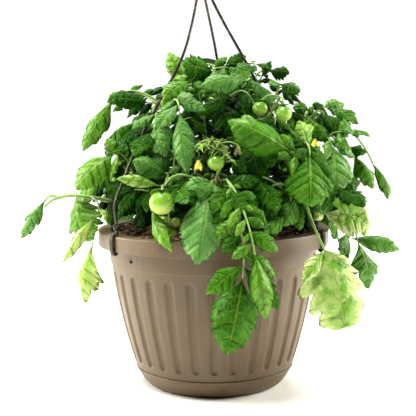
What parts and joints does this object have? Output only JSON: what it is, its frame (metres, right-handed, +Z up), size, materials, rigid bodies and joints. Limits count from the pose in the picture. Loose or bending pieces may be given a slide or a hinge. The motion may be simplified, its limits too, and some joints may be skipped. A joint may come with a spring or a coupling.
{
  "type": "tomato plant in a hanging basket",
  "caption": "Bushy green-fruited tomato plant in a round fluted plastic basket with a saucer and a wire hanger, standing on the floor.",
  "frame": {"origin": "middle of the saucer's flat underside, on the surface that it stands on", "axes": "+Z up along the basket's axis, -Y towards the front, +X to the right seen from the front"},
  "size_m": [0.4146, 0.3228, 0.498],
  "materials": {
    "basket_plastic": "taupe moulded plastic with a soft satin sheen",
    "potting_soil": null,
    "coated_wire": "steel wire with a thin dark brown coating",
    "green_leaf": "soft green leaf with sunken veins, slightly shiny, lighter underneath",
    "green_fruit": "smooth unripe tomato skin, pale green with a waxy shine",
    "yellow_petal": "soft matt yellow petal"
  },
  "bodies": {
    "root": {"basket": "basket_plastic", "saucer": "basket_plastic", "soil": "potting_soil", "hanger_wire_left": "coated_wire", "hanger_wire_right": "coated_wire", "hanger_wire_back": "coated_wire", "hanger_hook": "coated_wire", "leafy_stem_left": "green_leaf", "leafy_stem_left_top": "green_leaf", "leafy_stem_top": "green_leaf", "leafy_stem_right_top": "green_leaf", "leafy_stem_right": "green_leaf", "leafy_stem_right_low": "green_leaf", "leafy_stem_front_right": "green_leaf", "leafy_stem_front": "green_leaf", "leafy_stem_front_left": "green_leaf", "leafy_stem_back_right": "green_leaf", "leafy_stem_back": "green_leaf", "leafy_stem_back_middle": "green_leaf", "leafy_stem_back_left": "green_leaf", "tomato_1_1": "green_fruit", "tomato_1_2": "green_fruit", "tomato_1_3": "green_fruit", "tomato_1_4": "green_fruit", "tomato_2_1": "green_fruit", "tomato_3_1": "green_fruit", "tomato_3_2": "green_fruit", "tomato_4_1": "green_fruit", "tomato_4_2": "green_fruit", "tomato_5_1": "green_fruit", "flower_1": "yellow_petal", "flower_2": "yellow_petal", "flower_3": "yellow_petal"}
  },
  "joints": []
}
